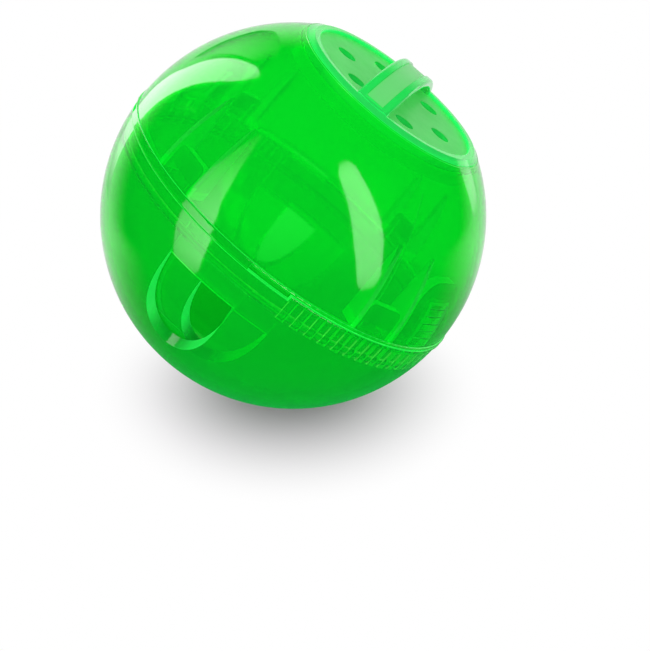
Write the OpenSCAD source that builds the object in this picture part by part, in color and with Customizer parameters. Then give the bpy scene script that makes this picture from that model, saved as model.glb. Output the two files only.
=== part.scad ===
// Treat dispensing ball: a clear tinted ball that splits at its equator. The lower half is an outer
// shell with a bowl nested in it. Both have the same two windows, and turning the upper half turns
// the bowl, so that the windows line up, half overlap or close. A lid with a bar handle plugs the top.
// Units are millimetres. The origin is the ball's centre, +Z is the turning axis and points at the
// lid, and the outer windows face -Y and +Y.

/* [Ball] */
// Outside diameter of the ball
ball_d = 76; // [72:0.5:84]
// Wall of the upper and lower shell
shell_wall = 1.6; // [1.4:0.1:2]
// Wall of the bowl inside the lower shell
bowl_wall = 1.5; // [1.2:0.1:2]
// Gap between the bowl and the shells round it
nest_gap = 0.3; // [0.25:0.05:0.4]
// Gap between the two shells at the equator
seam_gap = 0.2; // [0.1:0.05:0.3]
// How far the rim bead stands proud of the ball
rim_proud = 0.25; // [0.15:0.05:0.35]
// Radius of the rim bead's rounding
rim_round = 0.35; // [0.3:0.05:0.5]

/* [Windows] */
// Diameter of the upright cutter that makes each window
window_d = 15.8; // [12:0.2:16.4]
// How far the cutter's axis stands in from the ball's surface
window_in = 3.4; // [3:0.1:4]
// Straight top edge of the shell's windows, below the equator
window_drop = 9.2; // [9:0.1:11]
// How much lower the bowl's windows start
bowl_window_drop = 0.7; // [0.2:0.1:1]
// Depth of the bowl's level mould line below the equator
level_line_drop = 22.7; // [20:0.1:24]
// Turn of the bowl from fully open, as it stands in this model
set_turn = 12.8; // [4:0.2:20]

/* [Turning stop and clicks] */
// Angle that the stop lug covers
lug_angle = 72; // [60:1:76]
// Height of the stop lug
lug_h = 1.2; // [1:0.1:1.5]
// Where the leading end of the lug stands, from the bowl's window
lug_lead = -4.2; // [-6:0.1:0]
// Free turn past the model's setting, towards closed
close_turn = 14.4; // [13:0.1:15]
// Free turn back to fully open, with its margin
open_turn_spare = 0.3; // [0.2:0.1:1]
// Number of click pockets on each side
pocket_n = 16; // [8:1:16]
// Angle from one click pocket to the next
pocket_pitch = 5.05; // [4.5:0.05:5.05]
// Angle that one click pocket covers
pocket_angle = 2.6; // [1.8:0.1:3]
// Depth of a click pocket into the wall
pocket_depth = 0.8; // [0.4:0.1:1]
// Height of a click pocket
pocket_h = 5.2; // [4:0.1:6]
// Land between the rim and the pockets
pocket_land = 0.4; // [0.3:0.1:1]
// Height of the click nub over the bowl
nub_proud = 0.15; // [0.1:0.05:0.2]
// Width of the click nub
nub_w = 1.2; // [0.8:0.1:1.6]

/* [Snap ring between bowl and lower shell] */
// Depth of the snap ring below the equator
snap_drop = 4.5; // [4:0.1:5]
// Radius of the snap ring's section
snap_round = 0.7; // [0.6:0.05:0.8]
// Clearance of the snap ring in its groove
snap_gap = 0.25; // [0.2:0.05:0.3]

/* [Keys between bowl and upper shell] */
// Angle from the bowl's window to the centre of a key
key_angle = 39.2; // [36:0.1:39.5]
// Width of a key tab
tab_w = 7.8; // [5:0.1:8]
// Radius of a key tab's two top corners
tab_corner = 1.3; // [0.5:0.1:2]
// Margin round the sunk panel of a key tab
tab_margin = 1.3; // [1:0.1:1.6]
// Depth of the sunk panel of a key tab
tab_sink = 0.35; // [0.2:0.05:0.5]
// Height of a key tab above the equator
tab_h = 6.3; // [4:0.1:8]
// Thickness of a rib
rib_t = 1; // [0.8:0.1:1.2]
// Distance of a rib's upright inner edge from the axis
rib_in_r = 32; // [28:0.5:33]
// Clearance between a tab and its ribs
key_gap = 0.15; // [0.1:0.05:0.3]

/* [Snap hoops] */
// Angle from the bowl's window to the centre of a hoop
hoop_angle = 61; // [61:0.5:70]
// Width of a hoop
hoop_w = 14.6; // [13:0.1:14.8]
// Height of a hoop above the equator
hoop_h = 13.8; // [12.6:0.2:18]
// Radius of a hoop's two top corners
hoop_corner = 5.5; // [3:0.1:6]
// Width of the slot in a hoop
slot_w = 7; // [6:0.1:9]
// Top of the slot above the equator
slot_top = 10; // [8:0.1:10.5]
// Foot of the slot below the equator
slot_foot = 2; // [1.5:0.1:2.2]
// Clearance between the catch and its slot
catch_gap = 0.3; // [0.2:0.05:0.5]
// Depth of the catch at its upper, holding edge
catch_depth = 1.4; // [1:0.1:1.8]
// Number of grip lines across a catch
catch_line_n = 5; // [2:1:6]

/* [Lid] */
// Outside diameter of the lid's flange
lid_d = 41.3; // [38:0.1:42]
// Width of the raised ring round the lid's plate
lid_ring_w = 2.5; // [2:0.1:3]
// Thickness of the flange
flange_t = 1.4; // [1.2:0.1:1.6]
// Height of the ring's flat top over the flange's edge
ring_rise = 0.8; // [0.5:0.05:0.9]
// Depth of the plate below the ring
plate_sink = 0.7; // [0.4:0.1:1]
// Wall of the lid's skirt
skirt_wall = 1.2; // [1:0.1:1.5]
// Depth of the skirt below the flange
skirt_h = 3.3; // [3:0.1:4.5]
// Step from the flange's edge in to the neck of the upper shell
ledge_w = 1; // [0.8:0.1:1.4]
// Running fit of the lid's bead in the neck
lid_fit = 0.05; // [0.03:0.01:0.1]
// How far the lid's bead stands out from the skirt
lid_bead = 0.25; // [0.2:0.05:0.35]
// Wall of the neck that holds the lid
neck_wall = 1.4; // [1:0.1:1.8]
// Gap round the lid's flange
flange_gap = 0.1; // [0.05:0.05:0.2]
// Diameter of a vent hole
vent_d = 4.2; // [3:0.1:5]
// Diameter of the circle of vent holes
vent_circle_d = 23.8; // [20:0.1:24]
// Number of vent holes
vent_n = 6; // [2:4:6]
// Turn of the lid as it is plugged in, in this model
lid_turn = 3.2; // [-90:0.2:90]

/* [Handle] */
// Width of the bar handle
bar_w = 7.2; // [5.5:0.1:7.4]
// Thickness of the bar handle
bar_t = 1.8; // [1.5:0.1:2]
// Width of the raised rim along the bar's outer face
bar_rim = 1.6; // [1:0.1:2]
// Depth of the sunk panel between the rims
bar_panel_sink = 0.35; // [0.2:0.05:0.5]
// Rounding of the bar's long edges
bar_round = 0.7; // [0.3:0.1:0.8]

/* [Hidden] */
$fn = 128;
CLEAR_GREEN = [0.05, 0.78, 0.15, 0.55];
BOWL_GREEN = [0.02, 0.65, 0.12, 0.6];
TOP_GREEN = [0.1, 0.85, 0.2, 0.5];
LID_GREEN = [0.4, 0.85, 0.45, 0.8];
sides = 2;
half_turn = 360 / sides;
cut_over = 1;
ball_r = ball_d / 2;
shell_in_r = ball_r - shell_wall;
bowl_r = shell_in_r - nest_gap;
bowl_in_r = bowl_r - bowl_wall;
seam_half = seam_gap / 2;
window_r = window_d / 2;
window_axis_r = ball_r - window_in;
bowl_window_drop_total = window_drop + bowl_window_drop;
// Angles are counted from the -Y side, anticlockwise seen from the lid. The stop lug comes first.
lug_end = lug_lead + set_turn;
lug_start = lug_end - lug_angle;
notch_start = lug_start - set_turn - open_turn_spare;
notch_end = lug_end + close_turn;
pocket_gap_angle = 0.6;
pocket_start = notch_end + pocket_gap_angle;
lug_gap = 0.1;
snap_seat_share = 0.15;
catch_toe_share = 0.25;
catch_line_share = 0.17;
snap_ring_r = sqrt(bowl_r * bowl_r - snap_drop * snap_drop) - snap_seat_share * snap_round;
rib_offset = asin((tab_w / 2 + key_gap + rib_t / 2) / sqrt(bowl_in_r * bowl_in_r - tab_h * tab_h));
rib_foot = seam_half + nest_gap;
// The click nub stands in the middle of a hoop's leading leg, a quarter down the pockets.
nub_angle = hoop_angle - asin((hoop_w + slot_w) / (4 * bowl_r));
nub_z = -seam_half - pocket_land - pocket_h / 4;
nub_mid_r = sqrt(bowl_r * bowl_r - nub_z * nub_z) + nub_proud - nub_w / 2;
lid_r = lid_d / 2;
lid_z = sqrt(ball_r * ball_r - pow(lid_r + flange_gap, 2));
flange_z = lid_z - flange_t;
neck_r = lid_r - ledge_w;
skirt_r = neck_r - lid_fit - lid_bead;
skirt_z = flange_z - skirt_h;
ring_z = lid_z + ring_rise;
plate_z = ring_z - plate_sink;
plate_r = lid_r - lid_ring_w;
bead_round = 0.6;
bead_z = skirt_z + 2 * bead_round;
ring_round = 0.25;
// The bar's feet end on the flat of the ring, just inside the shoulder that follows the ball.
foot_step = 0.25;
foot_r = sqrt(ball_r * ball_r - ring_z * ring_z) - foot_step;
witness_w = 0.2;
witness_depth = 0.12;
// The upper shell's mould line runs over the leading corner of a key, to a little under the neck.
witness_angle = key_angle - asin((tab_w - tab_corner / 2) / (2 * bowl_r));
witness_top_share = 0.95;

// Copies the children to both sides of the ball.
module both_sides() {
    for (i = [0 : sides - 1])
        rotate(i * half_turn)
            children();
}

// Turns the children from the -Y side by an angle.
module at_angle(angle) {
    rotate(angle)
        children();
}

// A ring sector that starts at one angle and covers another, from a profile in the radius and height.
module sector(start, angle) {
    rotate(start - 90)
        rotate_extrude(angle = angle)
            children();
}

// Half section of a ball wall between two heights.
module wall_section(outer, inner, low, high) {
    intersection() {
        difference() {
            circle(r = outer);
            circle(r = inner);
        }
        translate([0, low])
            square([outer + cut_over, high - low]);
    }
}

// Full ring of ball wall between two heights.
module ball_wall(outer, inner, low, high) {
    rotate_extrude()
        wall_section(outer, inner, low, high);
}

// Section of the rim bead, with its centre at a height.
module rim_section(z) {
    translate([ball_r + rim_proud - rim_round, z])
        circle(r = rim_round);
}

// Upright round cutter of a window, up to its straight top edge.
module window_cut(drop) {
    translate([0, -window_axis_r, -ball_r - cut_over])
        cylinder(r = window_r, h = ball_r + cut_over - drop);
}

// Fine mould line cut up the inside of a wall on the -Y side.
module witness_line(wall_r, low, high) {
    intersection() {
        ball_wall(wall_r + witness_depth, wall_r - cut_over, low, high);
        translate([-witness_w / 2, -ball_r, low])
            cube([witness_w, ball_r, high - low]);
    }
}

// Two mould lines over the corners of a window.
module window_lines(wall_r, drop, top) {
    level_r = sqrt(wall_r * wall_r - drop * drop);
    corner_sum = level_r * level_r + window_axis_r * window_axis_r - window_r * window_r;
    corner_angle = acos(corner_sum / (2 * window_axis_r * level_r));
    for (side = [-1, 1])
        at_angle(side * corner_angle)
            witness_line(wall_r, -drop - cut_over, top);
}

// Section of the fine level mould line round the bowl's outer face.
module level_line_section() {
    low = -level_line_drop - witness_w;
    translate([sqrt(bowl_r * bowl_r - low * low) - witness_depth, low])
        square([ball_r, witness_w]);
}

// Section of the stop lug, with a rounded lower edge flush with the rim bead.
module lug_section() {
    inner = shell_in_r + lug_gap;
    outer = ball_r + rim_proud;
    top = seam_half + rim_round;
    translate([inner, -lug_h])
        square([outer - rim_round - inner, lug_h + top]);
    translate([inner, -lug_h + rim_round])
        square([outer - inner, lug_h - rim_round + top]);
    rim_section(-lug_h + rim_round);
}

// Outline with two round top corners, seen along its radius.
module arch_outline(w, foot, h, corner) {
    translate([-w / 2, -foot])
        square([w, foot + h - corner]);
    translate([-w / 2 + corner, -foot])
        square([w - 2 * corner, foot + h]);
    for (side = [-1, 1])
        translate([side * (w / 2 - corner), h - corner])
            circle(r = corner);
}

// Stands an outline upright on the -Y side and pushes it out through the wall.
module outward(from_r) {
    translate([0, -from_r, 0])
        rotate([90, 0, 0])
            linear_extrude(ball_r - from_r + cut_over)
                children();
}

// Bowl wall, level with the seam but for the key tabs and hoops that stand up over it.
module bowl_wall_with_tabs() {
    intersection() {
        ball_wall(bowl_r, bowl_in_r, -bowl_r, hoop_h + cut_over);
        union() {
            translate([0, 0, -ball_r - seam_half])
                cylinder(r = ball_r, h = ball_r);
            both_sides()
                for (side = [-1, 1])
                    at_angle(side * key_angle)
                        outward(bowl_in_r / 2)
                            arch_outline(tab_w, slot_foot, tab_h, tab_corner);
            both_sides()
                at_angle(hoop_angle)
                    outward(bowl_in_r / 2)
                        arch_outline(hoop_w, slot_foot, hoop_h, hoop_corner);
        }
    }
}

// Sunk panel cut into the inner face of a key tab.
module tab_panel() {
    intersection() {
        ball_wall(bowl_in_r + tab_sink, bowl_in_r - cut_over, 0, tab_h);
        outward(bowl_in_r / 2)
            translate([-tab_w / 2 + tab_margin, 0])
                square([tab_w - 2 * tab_margin, tab_h - tab_margin]);
    }
}

// Slot through a hoop, down into the bowl's rim.
module hoop_slot() {
    outward(bowl_in_r / 2)
        translate([-slot_w / 2, -slot_foot])
            square([slot_w, slot_foot + slot_top]);
}

// Wedge inside the upper shell that a hoop snaps over, with grip lines across it.
module catch() {
    low = rib_foot + catch_gap;
    high = slot_top - catch_gap;
    low_r = sqrt(shell_in_r * shell_in_r - low * low);
    high_r = sqrt(shell_in_r * shell_in_r - high * high);
    bite = shell_wall / 2;
    toe = catch_toe_share * catch_depth;
    line_w = catch_line_share * catch_depth;
    line_depth = line_w / 2;
    half_angle = asin((slot_w / 2 - catch_gap) / bowl_r);
    difference() {
        sector(-half_angle, 2 * half_angle)
            polygon([[low_r + bite, low], [low_r - toe, low],
                     [high_r - catch_depth, high], [high_r + bite, high]]);
        for (i = [1 : catch_line_n]) {
            share = i / (catch_line_n + 1);
            z = low + share * (high - low);
            face_r = low_r - toe + share * (high_r - catch_depth - low_r + toe);
            sector(-90, 180)
                translate([face_r - line_w, z])
                    square([line_w + line_depth, line_w]);
        }
    }
}

// Thin rib inside the upper shell, with an upright inner edge.
module rib() {
    rotate([90, 0, -90])
        translate([0, 0, -rib_t / 2])
            linear_extrude(rib_t)
                intersection() {
                    circle(r = shell_in_r + shell_wall / 2);
                    translate([rib_in_r, rib_foot])
                        square([ball_r, ball_r]);
                }
}

// Click pocket in the lower shell's inner face, at its own start angle.
module click_pocket(start) {
    sector(start, pocket_angle)
        wall_section(shell_in_r + pocket_depth, bowl_r,
                     -seam_half - pocket_land - pocket_h, -seam_half - pocket_land);
}

// Outer lower half: windows, click pockets, snap groove and the notch for the stop lug.
module lower_shell() {
    color(CLEAR_GREEN)
        difference() {
            union() {
                ball_wall(ball_r, shell_in_r, -ball_r, -seam_half);
                rotate_extrude()
                    rim_section(-seam_half - rim_round);
            }
            both_sides()
                window_cut(window_drop);
            both_sides()
                window_lines(shell_in_r, window_drop, 0);
            both_sides()
                for (i = [0 : pocket_n - 1])
                    click_pocket(pocket_start + i * pocket_pitch);
            both_sides()
                sector(notch_start, notch_end - notch_start)
                    translate([bowl_r, -seam_half - lug_h])
                        square([ball_r, lug_h + cut_over]);
            rotate_extrude()
                translate([snap_ring_r, -snap_drop])
                    circle(r = snap_round + snap_gap);
        }
}

// Bowl that nests in the lower shell: windows, snap ring, key tabs, snap hoops and click nubs.
module inner_bowl() {
    color(BOWL_GREEN)
        rotate(set_turn)
            difference() {
                union() {
                    bowl_wall_with_tabs();
                    rotate_extrude()
                        translate([snap_ring_r, -snap_drop])
                            circle(r = snap_round);
                    both_sides()
                        at_angle(nub_angle)
                            translate([0, -nub_mid_r, nub_z])
                                sphere(r = nub_w / 2);
                }
                both_sides()
                    window_cut(bowl_window_drop_total);
                both_sides()
                    window_lines(bowl_in_r, bowl_window_drop_total, -snap_drop / 2);
                rotate_extrude()
                    level_line_section();
                both_sides()
                    for (side = [-1, 1])
                        at_angle(side * key_angle)
                            tab_panel();
                both_sides()
                    at_angle(hoop_angle)
                        hoop_slot();
            }
}

// Upper half: rim bead, stop lugs, rib pairs, hoop catches and the neck for the lid.
module upper_shell() {
    color(TOP_GREEN)
        difference() {
            union() {
                ball_wall(ball_r, shell_in_r, seam_half, lid_z);
                rotate_extrude()
                    rim_section(seam_half + rim_round);
                rotate_extrude()
                    translate([neck_r - cut_over, skirt_z])
                        square([neck_wall + cut_over, lid_z - skirt_z - flange_gap]);
                both_sides()
                    sector(lug_start, lug_angle)
                        lug_section();
                rotate(set_turn)
                    both_sides() {
                        for (key = [-1, 1], side = [-1, 1])
                            at_angle(key * key_angle + side * rib_offset)
                                rib();
                        at_angle(hoop_angle)
                            catch();
                    }
            }
            translate([0, 0, skirt_z - cut_over])
                cylinder(r = neck_r, h = ball_r);
            translate([0, 0, flange_z])
                cylinder(r = lid_r + flange_gap, h = ball_r);
            rotate_extrude()
                translate([skirt_r + lid_bead + lid_fit - bead_round + lid_bead / 2, bead_z])
                    circle(r = bead_round + lid_bead / 2);
            rotate(set_turn)
                both_sides()
                    at_angle(witness_angle)
                        witness_line(shell_in_r, tab_h, witness_top_share * skirt_z);
        }
}

// Section of the bar handle: a flat strip with rounded edges, its outer face on the ball.
module bar_section() {
    translate([ball_r - bar_t, -bar_w / 2 + bar_round])
        square([bar_t, bar_w - 2 * bar_round]);
    translate([ball_r - bar_t + bar_round, -bar_w / 2])
        square([bar_t - 2 * bar_round, bar_w]);
    for (r = [ball_r - bar_t + bar_round, ball_r - bar_round], side = [-1, 1])
        translate([r, side * (bar_w / 2 - bar_round)])
            circle(r = bar_round);
}

// Bar handle that carries the ball's curve across the plate, with a sunk panel along its outer face.
module bar_handle() {
    panel_w = bar_w - 2 * bar_rim;
    panel_y = foot_r - bar_rim / 2;
    difference() {
        intersection() {
            rotate([0, 90, 0])
                rotate_extrude()
                    bar_section();
            translate([0, 0, (plate_z + flange_z) / 2])
                cylinder(r = foot_r, h = ball_r);
        }
        intersection() {
            rotate([0, 90, 0])
                rotate_extrude()
                    translate([ball_r - bar_panel_sink, -panel_w / 2])
                        square([bar_panel_sink + cut_over, panel_w]);
            translate([-bar_w / 2, -panel_y, 0])
                cube([bar_w, 2 * panel_y, ball_r + cut_over]);
        }
    }
}

// Half section of the lid: ring with a shoulder on the ball's curve, plate, skirt and snap bead.
module lid_section() {
    intersection() {
        circle(r = ball_r);
        union() {
            translate([plate_r, flange_z])
                square([lid_ring_w, ring_z - flange_z - ring_round]);
            translate([plate_r + ring_round, flange_z])
                square([lid_ring_w - ring_round, ring_z - flange_z]);
            translate([plate_r + ring_round, ring_z - ring_round])
                circle(r = ring_round);
        }
    }
    translate([0, flange_z])
        square([plate_r + skirt_wall / 2, plate_z - flange_z]);
    translate([skirt_r - skirt_wall, skirt_z])
        square([skirt_wall, skirt_h + flange_t / 2]);
    translate([skirt_r + lid_bead - bead_round, bead_z])
        circle(r = bead_round);
}

// Lid that plugs the neck, with its vent holes and its bar handle.
module lid() {
    color(LID_GREEN)
        rotate(lid_turn)
            difference() {
                union() {
                    rotate_extrude()
                        lid_section();
                    bar_handle();
                }
                for (i = [0 : vent_n - 1])
                    rotate(i * 360 / vent_n)
                        translate([vent_circle_d / 2, 0, skirt_z])
                            cylinder(d = vent_d, h = plate_z - skirt_z + cut_over);
            }
}

lower_shell();
inner_bowl();
upper_shell();
lid();
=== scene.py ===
"""Looks for the treat dispensing ball: clear green halves, the bowl in the lower one, and the lid.

Metres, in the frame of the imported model: the ball's centre is the origin, and +Z is the turning
axis, towards the lid. The ball lies on its side as in the photograph, so the floor and the camera
lean.
"""

from math import cos, pi, radians, sin, sqrt

import bpy
from mathutils import Matrix, Vector

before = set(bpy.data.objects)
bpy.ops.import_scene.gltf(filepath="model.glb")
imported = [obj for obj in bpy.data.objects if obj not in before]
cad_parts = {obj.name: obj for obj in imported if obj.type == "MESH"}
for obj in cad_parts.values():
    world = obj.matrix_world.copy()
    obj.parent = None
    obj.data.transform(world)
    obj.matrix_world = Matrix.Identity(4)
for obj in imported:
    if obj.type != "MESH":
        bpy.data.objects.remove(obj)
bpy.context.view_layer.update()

MM = 0.001
BALL_R = 38 * MM

# The camera: how far round the ball it stands from -Y, how high above the equator, and its roll.
IMAGE_W = 650
IMAGE_H = 651
CAMERA_ROUND = radians(9.2)
CAMERA_ABOVE_EQUATOR = radians(18.0)
CAMERA_ROLL = radians(39.43)
CAMERA_DISTANCE = 12 * BALL_R
CAMERA_CLIP_RATIO = 20
BALL_PX = 193.0
BALL_CENTRE_PX = (293.4, 215.9)
SENSOR_MM = 36.0

# The floor under the ball, as the camera looks down on it. It fades out round the ball.
CAMERA_ABOVE_FLOOR = radians(30)
FLOOR_CLEAR = 0.05 * MM
FLOOR_FADE_START = 0.10
FLOOR_FADE_END = 0.17
FLOOR_COLOUR = (0.80, 0.785, 0.80)
# Painted green light under the ball, which only the gloss sees.
REFLECTED_GREEN_UNDER_BALL = (0.02, 0.40, 0.09)
WHITE = (1, 1, 1)

# The ball's shadow: its middle on the floor, and where the floor turns plain white round it.
SHADOW_AT = (-1 * MM, -4 * MM, 0)
SHADOW_START = 7 * MM
SHADOW_END = 41 * MM

# The floor in the gloss, a painted reflection: green light under the ball, dark in front of it
# and white behind it.
UNDER_BALL_START = 15 * MM
UNDER_BALL_END = 70 * MM
BEHIND_BALL_START = -25 * MM
BEHIND_BALL_END = 45 * MM

# The surroundings in the gloss: nothing on the camera's side of the ball, and white behind it.
GLOSS_DIM_AT = 0.42
GLOSS_WHITE_AT = 0.82
GLOSS_DIM = 0.0
GLOSS_WHITE = 0.85
WORLD_FILL = 0.6

# The bright panels round the ball. Each has its brightness, the share of it that is left at its
# right edge, and rows of height, left and right bearing in degrees, and the row's share of the
# brightness. A bearing counts to the right from straight behind the ball.
PANEL_DISTANCE = 0.5
PANEL_COLOUR = (1.0, 0.82, 1.0)
PANEL_COLUMNS = 4
PANELS = {
    "behind_left": (4.0, 1, (
        (-20, -41, -34, 0.1), (-14, -42, -30, 0.3), (-6, -42, -24, 0.65), (2, -41, -24.5, 0.85),
        (10, -40.5, -26, 0.95), (25, -41, -24, 1), (40, -41, -22.5, 1), (49, -40, -21.5, 1),
        (53.5, -37, -22.5, 0.9), (57, -32, -25, 0.45), (59, -29, -27, 0))),
    "behind_top": (1.0, 0.2, (
        (5, -20, -6, 0), (12, -21, -4, 0.8), (24, -21, -4, 1), (36, -20, -5, 0.8),
        (46, -19, -8, 0))),
    "behind_right": (2.2, 1, (
        (-22, 47, 54, 0.2), (-16, 46, 56, 0.7), (-9, 45, 58, 0.9), (-2, 42, 58, 0.5),
        (3, 44, 54, 0))),
    "front_left": (4.0, 0.55, (
        (-13, -124, -114, 0), (-9, -128, -112, 0.5), (-3, -129.5, -111, 0.9), (6, -132, -110, 1),
        (17, -133, -110, 1), (28, -132, -110.5, 0.8), (40, -133, -113, 0.55), (50, -133, -117, 0.3),
        (60, -132, -120, 0.2), (69, -129, -124, 0.05))),
    "front_right": (4.2, 1, (
        (-17, 138, 143, 0), (-15, 135.5, 144.5, 0.5), (-11, 132.5, 146, 0.8), (-4, 131, 146, 0.95),
        (9, 128, 146, 1), (20, 127, 145, 1), (30, 126.5, 144, 1), (40, 126, 143, 1),
        (47, 125, 142, 0.95), (51, 127, 139, 0.75), (54, 130, 136, 0))),
}

# The soft panel overhead that lights the haze in the plastic and the floor.
TOP_LIGHT_BEARING = radians(-20)
TOP_LIGHT_HEIGHT = radians(75)
TOP_LIGHT_DISTANCE = 0.6
TOP_LIGHT_SIZE = 0.35
TOP_LIGHT_BRIGHTNESS = 3.45

# The plastic. A wall is two surfaces, and each takes the square root of the tint.
PLASTIC_IOR = 1.49
UPPER_TINT = (0.012, 0.93, 0.03)
LOWER_TINT = (0.010, 0.915, 0.02)
SHADOW_TINT = (0.80, 0.81, 0.80)
WALL_ROUGHNESS = 0.05
WALL_GRAIN_ROUGHNESS = 0.02

# The haze: its share of a wall, its larger share of the bowl's tabs and hoops, its colour and its
# painted glow.
MILK = 0.15
BOWL_TAB_MILK = 0.35
MILK_TINT = (0.005, 0.87, 0.07)
MILK_GLOW = 0.07

# The deeper colour along the rim beads, and in faint clouds all over. The bowl has no rim bead, so
# its band lies outside the ball.
DEEP_TINT = (0.0, 0.80, 0.005)
RIM_HALF = 1.1 * MM
RIM_BLEND = 0.2 * MM
LOWER_RIM = (-RIM_HALF, 1 * MM)
UPPER_RIM = (-2 * MM, RIM_HALF)
NO_RIM = (40 * MM, 41 * MM)
CLOUD_START = 0.3
CLOUD_END = 0.7
CLOUD_DEPTH = 0.06

# Cut edges. A surface counts as one by the square of how far it faces along the ball's radius.
# Their glow is painted light, for the light that runs along inside the wall.
WALL_FACING = 0.55
EDGE_FACING = 0.15
EDGE_TINT = (0.015, 0.83, 0.08)
EDGE_GLOW = (0.01, 1.0, 0.10)
EDGE_LIGHT = 0.25
EDGE_ROUGHNESS = 0.3
EDGE_CLEARNESS = 0.4

# The click pockets' edges, painted as pale glints of white light. Their level ones, by the square
# of how far they face up, show less.
POCKET_GLINT_TINT = (0.80, 0.95, 0.45)
POCKET_GLINT_GLOW = (1.0, 1.0, 0.55)
POCKETS = (-6.3 * MM, -1.4 * MM)
POCKET_BLEND = 0.3 * MM
POCKET_LEVEL_START = 0.2
POCKET_LEVEL_END = 0.5
POCKET_LEVEL_CUT = 0.5

# The edges of ribs, tabs and hoops, painted paler with a glow as highlight lines, which show less
# on the upper shell's thin ribs.
RIB_HIGHLIGHT_TINT = (0.25, 0.90, 0.35)
RIB_HIGHLIGHT_GLOW = (0.30, 1.0, 0.40)
RIBS = (2 * MM, 26 * MM)
RIB_BLEND = 0.5 * MM
UPPER_RIB_SHARE = 0.5

# The lid's clear ring, with a painted glow on its cut edges.
LID_TURN = radians(3.2)
LID_TINT = (0.03, 0.90, 0.14)
LID_CLEARNESS = 0.45
LID_ROUGHNESS = 0.04
LID_WEAR_ROUGHNESS = 0.02
LID_EDGE_TINT = (0.02, 0.84, 0.14)
LID_EDGE_GLOW = (0.01, 1.0, 0.18)
LID_EDGE_LIGHT = 0.3
LID_EDGE_START = 0.3 * MM
LID_EDGE_END = 0.1 * MM

# The dull plate, with its worn places.
PLATE_Z = 31.93 * MM
PLATE_R = 18.2 * MM
PLATE_OFF_START = 0.15 * MM
PLATE_OFF_END = 0.05 * MM
PLATE_BLEND = 0.1 * MM
PLATE_TINT = (0.10, 0.90, 0.16)
PLATE_WORN_TINT = (0.07, 0.86, 0.12)
PLATE_CLEARNESS = 0.45
PLATE_ROUGHNESS = 0.42
PLATE_WEAR_ROUGHNESS = 0.12
WEAR_START = 0.35
WEAR_END = 0.7

# The paler dull panel on the bar.
BAR_TINT = (0.24, 0.88, 0.28)
BAR_FROM_Z = 33.0 * MM
BAR_PANEL_HALF = 2.0 * MM
BAR_SIDE_BLEND = 0.2 * MM
BAR_PANEL_REACH = 18.4 * MM
BAR_END_BLEND = 0.3 * MM
BAR_DULLNESS = 0.8

# Noise as scale, detail and, where it isn't the usual one, roughness.
WALL_WAVE = (45.0, 1.0)
WALL_GRAIN = (900.0, 3.0)
WALL_CLOUD = (60.0, 2.0)
LID_WAVE = (90.0, 1.0)
PLATE_PITS = (3500.0, 3.0, 0.6)
PLATE_WEAR = (220.0, 4.0, 0.6)

# Relief as strength and depth.
WALL_RELIEF = (0.05, 0.4 * MM)
LID_RELIEF = (0.05, 0.3 * MM)
PLATE_RELIEF = (0.35, 0.05 * MM)

# Light passes many clear walls, but the haze scatters it only a few times.
CLEAR_BOUNCES = 48
DIFFUSE_BOUNCES = 3


class Value:
    """A socket of a material's node tree that Python's own arithmetic works on."""

    def __init__(self, nodes, socket):
        self.nodes = nodes
        self.socket = socket

    def maths(self, operation, first, second=0.0):
        return self.nodes.add("ShaderNodeMath", {"operation": operation}, [first, second])

    def __add__(self, other):
        return self.maths("ADD", self, other)

    def __radd__(self, other):
        return self.maths("ADD", other, self)

    def __sub__(self, other):
        return self.maths("SUBTRACT", self, other)

    def __rsub__(self, other):
        return self.maths("SUBTRACT", other, self)

    def __mul__(self, other):
        return self.maths("MULTIPLY", self, other)

    def __rmul__(self, other):
        return self.maths("MULTIPLY", other, self)

    def __abs__(self):
        return self.maths("ABSOLUTE", self)

    def root(self):
        return self.maths("POWER", self, 0.5)

    def larger(self, other):
        return self.maths("MAXIMUM", self, other)


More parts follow.
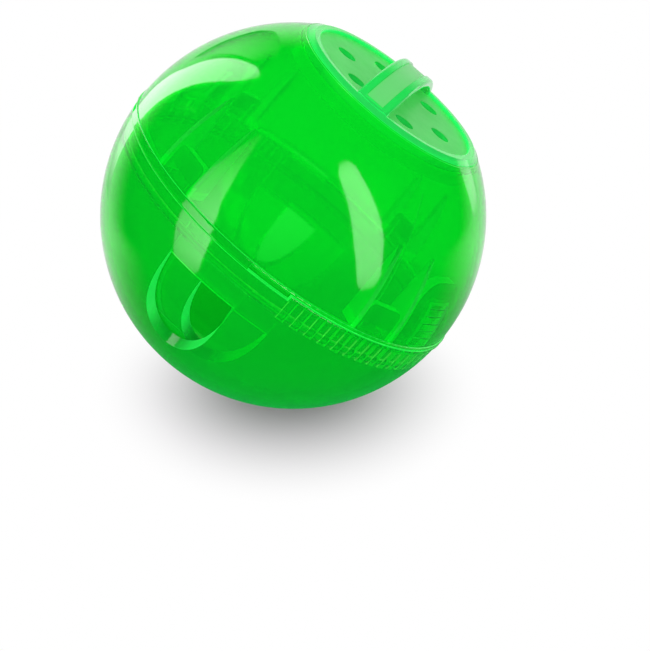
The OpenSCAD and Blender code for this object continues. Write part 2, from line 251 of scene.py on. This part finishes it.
class Nodes:
    """A material's or the world's node tree, emptied and ready to be written."""

    def __init__(self, owner):
        owner.use_nodes = True
        self.tree = owner.node_tree
        self.tree.nodes.clear()

    def add(self, kind, settings=None, inputs=None, out=0):
        """Adds a node with its settings and its inputs, by name or place, and gives one output."""
        node = self.tree.nodes.new(kind)
        for name, setting in (settings or {}).items():
            setattr(node, name, setting)
        pairs = inputs.items() if isinstance(inputs, dict) else enumerate(inputs or [])
        for name, value in pairs:
            if isinstance(value, Value):
                self.tree.links.new(value.socket, node.inputs[name])
            else:
                node.inputs[name].default_value = value
        return Value(self, node.outputs[out]) if len(node.outputs) else node

    def fade(self, value, start, end, low=0.0, high=1.0):
        """Goes smoothly from low at start to high at end."""
        ends = {"Value": value, "From Min": start, "From Max": end, "To Min": low, "To Max": high}
        return self.add("ShaderNodeMapRange", {"interpolation_type": "SMOOTHSTEP"}, ends)

    def band(self, value, ends, blend):
        """1 between two ends and 0 beyond them, with a soft step inside each."""
        low, high = ends
        return self.fade(value, low, low + blend) * self.fade(value, high, high - blend)

    def tone(self, share, first, second):
        """A colour between two others. On this node, colours are inputs 6 and 7 and output 2."""
        first, second = (c if isinstance(c, Value) else (*c, 1) for c in (first, second))
        inputs = {0: share, 6: first, 7: second}
        return self.add("ShaderNodeMix", {"data_type": "RGBA"}, inputs, out=2)

    def place(self):
        return self.add("ShaderNodeTexCoord", out="Object")

    def normal(self):
        return self.add("ShaderNodeTexCoord", out="Normal")

    def part(self, vector, axis):
        return self.add("ShaderNodeSeparateXYZ", {}, {0: vector}, out=axis)

    def ray(self, kind):
        """1 for rays of one kind and 0 for all others."""
        return self.add("ShaderNodeLightPath", out="Is %s Ray" % kind)

    def noise(self, place, scale, detail, roughness=0.5):
        inputs = {"Vector": place, "Scale": scale, "Detail": detail, "Roughness": roughness}
        return self.add("ShaderNodeTexNoise", {}, inputs)

    def relief(self, height, strength, depth):
        inputs = {"Strength": strength, "Distance": depth, "Height": height}
        return self.add("ShaderNodeBump", {}, inputs)

    def length(self, vector):
        return self.add("ShaderNodeVectorMath", {"operation": "LENGTH"}, {0: vector}, out="Value")

    def dot(self, first, second):
        inputs = {0: first, 1: second}
        return self.add("ShaderNodeVectorMath", {"operation": "DOT_PRODUCT"}, inputs, out="Value")

    def mix(self, share, first, second):
        return self.add("ShaderNodeMixShader", {}, {0: share, 1: first, 2: second})

    def light(self, colour, strength):
        return self.add("ShaderNodeEmission", {}, {"Color": (*colour, 1), "Strength": strength})

    def surface(self, shader):
        self.add("ShaderNodeOutputMaterial", {}, {"Surface": shader})


def camera_axes():
    """The directions to the right of the picture, up in it and back towards the camera."""
    around, above = CAMERA_ROUND, CAMERA_ABOVE_EQUATOR
    back = Vector((sin(around) * cos(above), -cos(around) * cos(above), sin(above)))
    level_right = Vector((cos(around), sin(around), 0))
    level_up = back.cross(level_right)
    right = level_right * cos(CAMERA_ROLL) + level_up * sin(CAMERA_ROLL)
    up = level_up * cos(CAMERA_ROLL) - level_right * sin(CAMERA_ROLL)
    return right, up, back


def add_to_scene(name, data):
    thing = bpy.data.objects.new(name, data)
    bpy.context.scene.collection.objects.link(thing)
    return thing


def turned(x_axis, y_axis, z_axis, place):
    """The matrix of something that stands at a place with its axes along three directions."""
    turn = Matrix((x_axis, y_axis, z_axis)).transposed().to_4x4()
    return Matrix.Translation(place) @ turn


def make_camera():
    """The camera looks past the ball's centre, so that the ball lies off the picture's middle."""
    right, up, back = camera_axes()
    per_px = BALL_R / BALL_PX
    aim = right * (IMAGE_W / 2 - BALL_CENTRE_PX[0]) * per_px
    aim -= up * (IMAGE_H / 2 - BALL_CENTRE_PX[1]) * per_px
    place = back * CAMERA_DISTANCE
    z_axis = (place - aim).normalized()
    x_axis = up.cross(z_axis).normalized()
    data = bpy.data.cameras.new("camera")
    data.sensor_width = SENSOR_MM
    data.lens = SENSOR_MM / IMAGE_H * BALL_PX * sqrt((CAMERA_DISTANCE / BALL_R) ** 2 - 1)
    data.clip_start = CAMERA_DISTANCE / CAMERA_CLIP_RATIO
    data.clip_end = CAMERA_DISTANCE * CAMERA_CLIP_RATIO
    camera = add_to_scene("camera", data)
    camera.matrix_world = turned(x_axis, z_axis.cross(x_axis), z_axis, place)
    bpy.context.scene.camera = camera


def floor_axes():
    """The floor's normal, its direction away from the camera, and its direction to the right."""
    right, up, back = camera_axes()
    normal = up * cos(CAMERA_ABOVE_FLOOR) + back * sin(CAMERA_ABOVE_FLOOR)
    away = (up * sin(CAMERA_ABOVE_FLOOR) - back * cos(CAMERA_ABOVE_FLOOR)).normalized()
    return normal, away, right


def over_floor(bearing, height):
    """The direction at a height angle and a bearing, to the right of straight away if positive."""
    normal, away, right = floor_axes()
    level = away * cos(bearing) + right * sin(bearing)
    return level * cos(height) + normal * sin(height)


def floor_paint():
    """White floor that keeps the ball's shadow, fades out round it and is clear from below."""
    material = bpy.data.materials.new("floor_white")
    nodes = Nodes(material)
    place = nodes.place()
    reach = nodes.length(place)
    below = nodes.add("ShaderNodeNewGeometry", out="Backfacing")
    cover = nodes.fade(reach, FLOOR_FADE_START, FLOOR_FADE_END, 1.0, 0.0) * (1 - below)
    matt = nodes.add("ShaderNodeBsdfDiffuse", {}, {"Color": (*FLOOR_COLOUR, 1)})
    clear = nodes.add("ShaderNodeBsdfTransparent")
    inputs = {0: place, 1: SHADOW_AT}
    from_shadow = nodes.add("ShaderNodeVectorMath", {"operation": "SUBTRACT"}, inputs)
    bright = nodes.fade(nodes.length(from_shadow), SHADOW_START, SHADOW_END)
    seen = nodes.mix(bright * (1 - nodes.ray("Diffuse")), matt, nodes.light(WHITE, 1.0))
    behind = nodes.fade(nodes.part(place, "Y"), BEHIND_BALL_START, BEHIND_BALL_END)
    mirrored = nodes.mix(behind, nodes.light(WHITE, GLOSS_DIM), nodes.light(WHITE, GLOSS_WHITE))
    off_ball = nodes.fade(reach, UNDER_BALL_START, UNDER_BALL_END)
    mirrored = nodes.mix(off_ball, nodes.light(REFLECTED_GREEN_UNDER_BALL, 1.0), mirrored)
    nodes.surface(nodes.mix(cover, clear, nodes.mix(nodes.ray("Glossy"), seen, mirrored)))
    return material


def make_floor():
    normal, away, right = floor_axes()
    size = FLOOR_FADE_END
    mesh = bpy.data.meshes.new("floor")
    corners = [(-size, -size, 0), (size, -size, 0), (size, size, 0), (-size, size, 0)]
    mesh.from_pydata(corners, [], [(0, 1, 2, 3)])
    floor = add_to_scene("floor", mesh)
    floor.matrix_world = turned(right, away, normal, normal * -(BALL_R + FLOOR_CLEAR))
    mesh.materials.append(floor_paint())


def panel_glow(name, brightness):
    """Light that follows the panel's own soft ends."""
    material = bpy.data.materials.new(name)
    nodes = Nodes(material)
    share = nodes.add("ShaderNodeAttribute", {"attribute_name": "glow"}, out="Fac")
    dark, bright = nodes.light(PANEL_COLOUR, 0.0), nodes.light(PANEL_COLOUR, brightness)
    nodes.surface(nodes.mix(share, dark, bright))
    return material


def make_panel(name, brightness, right_share, rows):
    """A soft box with a curved outline that stands round the ball, hidden from the camera and
    casting no shadow.
    """
    corners, faces, glow = [], [], []
    for height, left, right, share in rows:
        for column in range(PANEL_COLUMNS + 1):
            across = column / PANEL_COLUMNS
            bearing = left + (right - left) * across
            corners.append(over_floor(radians(bearing), radians(height)) * PANEL_DISTANCE)
            glow.append(share * (1 - (1 - right_share) * across))
    step = PANEL_COLUMNS + 1
    for row in range(len(rows) - 1):
        for column in range(PANEL_COLUMNS):
            first = row * step + column
            faces.append((first, first + 1, first + 1 + step, first + step))
    mesh = bpy.data.meshes.new(name)
    mesh.from_pydata(corners, [], faces)
    mesh.attributes.new("glow", "FLOAT", "POINT").data.foreach_set("value", glow)
    mesh.materials.append(panel_glow(name, brightness))
    panel = add_to_scene(name, mesh)
    panel.visible_camera = False
    panel.visible_shadow = False


def make_top_light():
    """A square soft panel overhead, facing the ball."""
    direction = over_floor(TOP_LIGHT_BEARING, TOP_LIGHT_HEIGHT)
    data = bpy.data.lights.new("top_panel", "AREA")
    data.shape = "SQUARE"
    data.size = TOP_LIGHT_SIZE
    data.energy = TOP_LIGHT_BRIGHTNESS * TOP_LIGHT_SIZE * TOP_LIGHT_SIZE * pi
    lamp = add_to_scene("top_panel", data)
    lamp.rotation_mode = "QUATERNION"
    lamp.rotation_quaternion = direction.to_track_quat("Z", "Y")
    lamp.location = direction * TOP_LIGHT_DISTANCE
    lamp.visible_camera = False
    lamp.visible_glossy = False
    lamp.visible_transmission = False


def make_world():
    """White behind the ball, and dark for the gloss on the side that faces the camera."""
    world = bpy.data.worlds.new("studio")
    bpy.context.scene.world = world
    nodes = Nodes(world)
    back = camera_axes()[2]
    direction = nodes.add("ShaderNodeTexCoord", out="Generated")
    facing = nodes.dot(direction, tuple(-back))
    diffuse_ray, glossy_ray = nodes.ray("Diffuse"), nodes.ray("Glossy")
    gloss = nodes.fade(facing, GLOSS_DIM_AT, GLOSS_WHITE_AT, GLOSS_DIM, GLOSS_WHITE)
    strength = glossy_ray * gloss + diffuse_ray * WORLD_FILL
    strength = strength + (1 - glossy_ray) * (1 - diffuse_ray)
    sky = nodes.add("ShaderNodeBackground", {}, {"Color": (*WHITE, 1), "Strength": strength})
    nodes.add("ShaderNodeOutputWorld", {}, {"Surface": sky})


def wall_edge(nodes, place, normal):
    """1 on a cut edge, where the surface runs along the ball's radius, and 0 on a wall's faces."""
    outward = nodes.add("ShaderNodeVectorMath", {"operation": "NORMALIZE"}, {0: place})
    along = nodes.dot(normal, outward)
    return nodes.fade(along * along, WALL_FACING, EDGE_FACING)


def plastic(nodes, tint, roughness, clearness, normal):
    tint = tint if isinstance(tint, Value) else (*tint, 1)
    return nodes.add("ShaderNodeBsdfPrincipled", {}, {
        "Base Color": tint, "Roughness": roughness, "IOR": PLASTIC_IOR,
        "Transmission Weight": clearness, "Normal": normal})


def milk(nodes, roughness, normal):
    """The bluish green haze in the plastic, taking up light and giving it off all round, with
    painted glow.
    """
    return nodes.add("ShaderNodeBsdfPrincipled", {}, {
        "Base Color": (*MILK_TINT, 1), "Roughness": roughness, "IOR": PLASTIC_IOR,
        "Normal": normal, "Emission Color": (*MILK_TINT, 1), "Emission Strength": MILK_GLOW})


def milky_edge_painted_glow(nodes, tint, glow, light, normal):
    """Cut edges look paler by a painted glow, for the light that runs along inside the wall."""
    tint, glow = (c if isinstance(c, Value) else (*c, 1) for c in (tint, glow))
    return nodes.add("ShaderNodeBsdfPrincipled", {}, {
        "Base Color": tint, "Roughness": EDGE_ROUGHNESS, "IOR": PLASTIC_IOR,
        "Transmission Weight": EDGE_CLEARNESS, "Normal": normal,
        "Emission Color": glow, "Emission Strength": light})


def let_lamps_through(nodes, shader):
    """The plastic throws only a light shadow."""
    veil = nodes.add("ShaderNodeBsdfTransparent", {}, {"Color": (*SHADOW_TINT, 1)})
    nodes.surface(nodes.mix(nodes.ray("Shadow"), shader, veil))


def wall_plastic(name, tint, rim_ends, rib_share=1.0, rib_milk=MILK):
    """Clear tinted plastic with a faint milky cast, paler on cut edges by painted glow, deeper at
    the rim.
    """
    material = bpy.data.materials.new(name)
    nodes = Nodes(material)
    place, normal = nodes.place(), nodes.normal()
    z = nodes.part(place, "Z")
    rim = nodes.band(z, rim_ends, RIM_BLEND)
    pocket = nodes.band(z, POCKETS, POCKET_BLEND)
    ribs = nodes.band(z, RIBS, RIB_BLEND)

    cloud = nodes.fade(nodes.noise(place, *WALL_CLOUD), CLOUD_START, CLOUD_END, 0.0, CLOUD_DEPTH)
    colour = nodes.tone(cloud.larger(rim), tint, DEEP_TINT)
    ripple = nodes.relief(nodes.noise(place, *WALL_WAVE), *WALL_RELIEF)
    roughness = WALL_ROUGHNESS + WALL_GRAIN_ROUGHNESS * nodes.noise(place, *WALL_GRAIN)
    clear = plastic(nodes, colour, roughness, 1.0, ripple)
    haze = MILK + (rib_milk - MILK) * ribs
    wall = nodes.mix(haze, clear, milk(nodes, roughness, ripple))

    up = nodes.dot(normal, (0, 0, 1))
    level = nodes.fade(up * up, POCKET_LEVEL_START, POCKET_LEVEL_END)
    cut = wall_edge(nodes, place, normal) * (1 - POCKET_LEVEL_CUT * pocket * level)
    cut = cut * (1 - (1 - rib_share) * ribs)
    # Painted light: pale glints on the pockets' edges, highlight lines on ribs and glow on other
    # cut edges.
    edge_tint = nodes.tone(pocket, nodes.tone(ribs, EDGE_TINT, RIB_HIGHLIGHT_TINT), POCKET_GLINT_TINT)
    edge_glow = nodes.tone(pocket, nodes.tone(ribs, EDGE_GLOW, RIB_HIGHLIGHT_GLOW), POCKET_GLINT_GLOW)
    edge = milky_edge_painted_glow(nodes, edge_tint, edge_glow, EDGE_LIGHT, ripple)
    let_lamps_through(nodes, nodes.mix(cut, wall, edge))
    return material


def lid_plastic(name):
    """The lid's clear ring, the spark-eroded dull face of its plate and the panel on its bar."""
    material = bpy.data.materials.new(name)
    nodes = Nodes(material)
    place, normal = nodes.place(), nodes.normal()
    x, y, z = (nodes.part(place, axis) for axis in "XYZ")
    across = x * cos(LID_TURN) + y * sin(LID_TURN)
    along = y * cos(LID_TURN) - x * sin(LID_TURN)
    reach = (x * x + y * y).root()
    plate = nodes.fade(abs(z - PLATE_Z), PLATE_OFF_START, PLATE_OFF_END)
    plate = plate * nodes.fade(reach, PLATE_R, PLATE_R - PLATE_BLEND)
    bar = nodes.fade(abs(across), BAR_PANEL_HALF, BAR_PANEL_HALF - BAR_SIDE_BLEND)
    bar = bar * nodes.fade(z, BAR_FROM_Z, BAR_FROM_Z + BAR_END_BLEND)
    bar = bar * nodes.fade(abs(along), BAR_PANEL_REACH, BAR_PANEL_REACH - BAR_END_BLEND)

    wear = nodes.noise(place, *PLATE_WEAR)
    worn = nodes.fade(wear, WEAR_START, WEAR_END)
    dull_tint = nodes.tone(bar, nodes.tone(worn, PLATE_TINT, PLATE_WORN_TINT), BAR_TINT)
    dull_roughness = PLATE_ROUGHNESS + PLATE_WEAR_ROUGHNESS * wear
    skin = nodes.relief(nodes.noise(place, *PLATE_PITS), *PLATE_RELIEF)
    dull = plastic(nodes, dull_tint, dull_roughness, PLATE_CLEARNESS, skin)

    ripple = nodes.relief(nodes.noise(place, *LID_WAVE), *LID_RELIEF)
    roughness = LID_ROUGHNESS + LID_WEAR_ROUGHNESS * wear
    glossy = plastic(nodes, LID_TINT, roughness, LID_CLEARNESS, ripple)
    # A painted glow on the ring's cut edges.
    edge = milky_edge_painted_glow(nodes, LID_EDGE_TINT, LID_EDGE_GLOW, LID_EDGE_LIGHT, ripple)
    outside_plate = nodes.fade(reach, PLATE_R - LID_EDGE_START, PLATE_R - LID_EDGE_END)
    ring = nodes.mix(wall_edge(nodes, place, normal) * outside_plate, glossy, edge)
    let_lamps_through(nodes, nodes.mix(plate.larger(bar * BAR_DULLNESS), ring, dull))
    return material


def dress(node, material):
    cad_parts[node].data.materials.clear()
    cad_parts[node].data.materials.append(material)


def set_rendering():
    scene = bpy.context.scene
    scene.view_settings.view_transform = "Standard"
    scene.cycles.max_bounces = CLEAR_BOUNCES
    scene.cycles.transmission_bounces = CLEAR_BOUNCES
    scene.cycles.glossy_bounces = CLEAR_BOUNCES
    scene.cycles.transparent_max_bounces = CLEAR_BOUNCES
    scene.cycles.diffuse_bounces = DIFFUSE_BOUNCES
    scene.cycles.caustics_reflective = False
    scene.cycles.caustics_refractive = False


make_camera()
make_floor()
make_world()
for name, (brightness, right_share, rows) in PANELS.items():
    make_panel("panel_" + name, brightness, right_share, rows)
make_top_light()

dress("lower_shell", wall_plastic("lower_green", LOWER_TINT, LOWER_RIM))
dress("upper_shell", wall_plastic("upper_green", UPPER_TINT, UPPER_RIM, rib_share=UPPER_RIB_SHARE))
dress("inner_bowl", wall_plastic("bowl_green", LOWER_TINT, NO_RIM, rib_milk=BOWL_TAB_MILK))
dress("lid", lid_plastic("lid_green"))
set_rendering()
